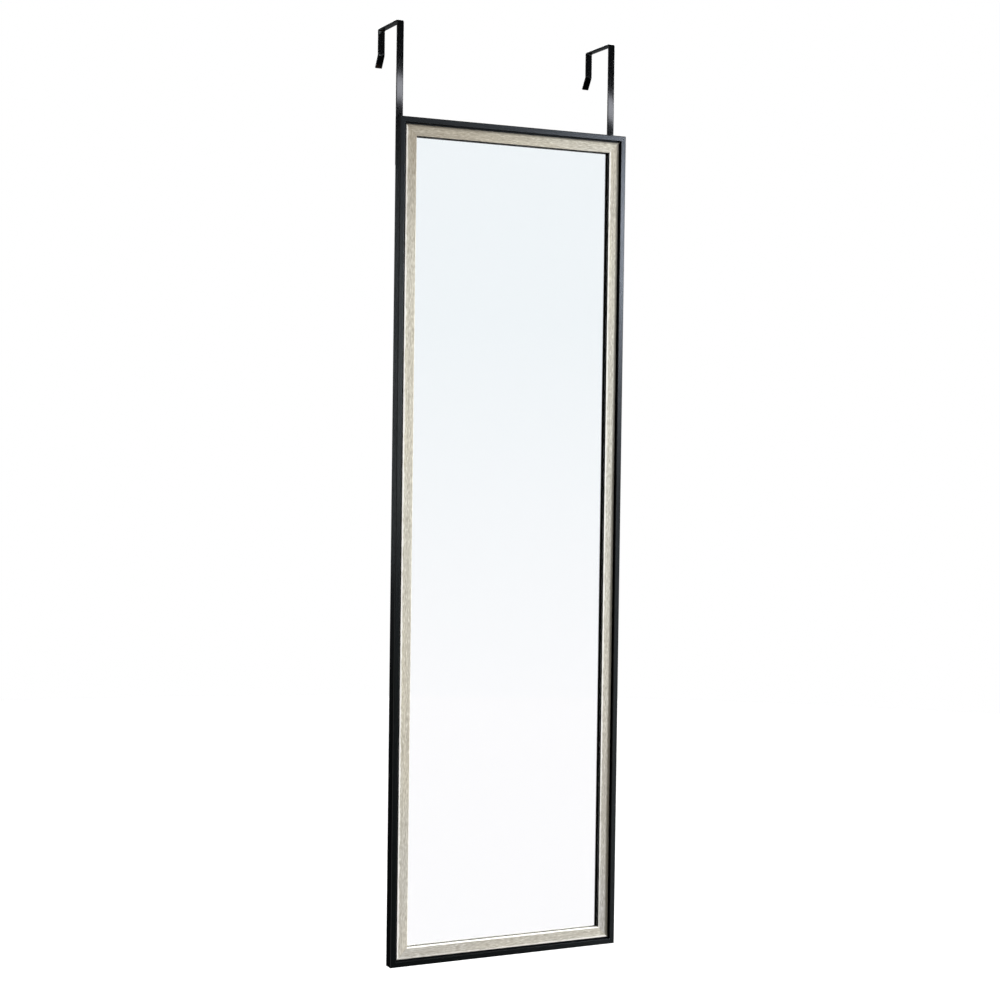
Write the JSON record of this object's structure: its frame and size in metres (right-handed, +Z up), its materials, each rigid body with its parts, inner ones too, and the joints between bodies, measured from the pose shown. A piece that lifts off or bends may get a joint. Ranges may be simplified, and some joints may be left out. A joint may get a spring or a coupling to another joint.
{
  "type": "over-the-door mirror",
  "caption": "Tall narrow mirror in a black moulding with pale wood-look trim, hung from flat steel hooks bent over the top of a door.",
  "frame": {"origin": "on the line where the door's front face meets its top, midway across the frame: y = 0 is the door's front and z = 0 its top, under the hooks' bars", "axes": "+Z up the height of the mirror, +Y into the door so the glass faces -Y, +X to the right as seen from the front"},
  "size_m": [0.366, 0.1035, 1.3595],
  "materials": {
    "black_moulding": "satin black foil on a polystyrene moulding",
    "wood_look_trim": "pale greige wood-grain foil, grain along each length",
    "clear_glass": "clear float glass with a faint green edge",
    "mirror_silver": "silver coat seen through the glass, grey protective paint on its back",
    "padding": "thin white foam paper",
    "hardboard": "smooth brown hardboard",
    "black_steel": "satin black powder coat on a flat steel strap",
    "fastener_steel": "zinc-plated steel",
    "pad_rubber": "matt grey rubber"
  },
  "bodies": {
    "root": {"top_rail": "black_moulding", "bottom_rail": "black_moulding", "left_stile": "black_moulding", "right_stile": "black_moulding", "trim_top": "wood_look_trim", "trim_bottom": "wood_look_trim", "trim_left": "wood_look_trim", "trim_right": "wood_look_trim", "mirror_glass": "clear_glass", "silvering": "mirror_silver", "padding_sheet": "padding", "backing_board": "hardboard", "framers_points": "fastener_steel", "corner_v_nails": "fastener_steel", "left_hook": "black_steel", "right_hook": "black_steel", "hook_screws": "fastener_steel", "bumper_pads": "pad_rubber"}
  },
  "joints": []
}
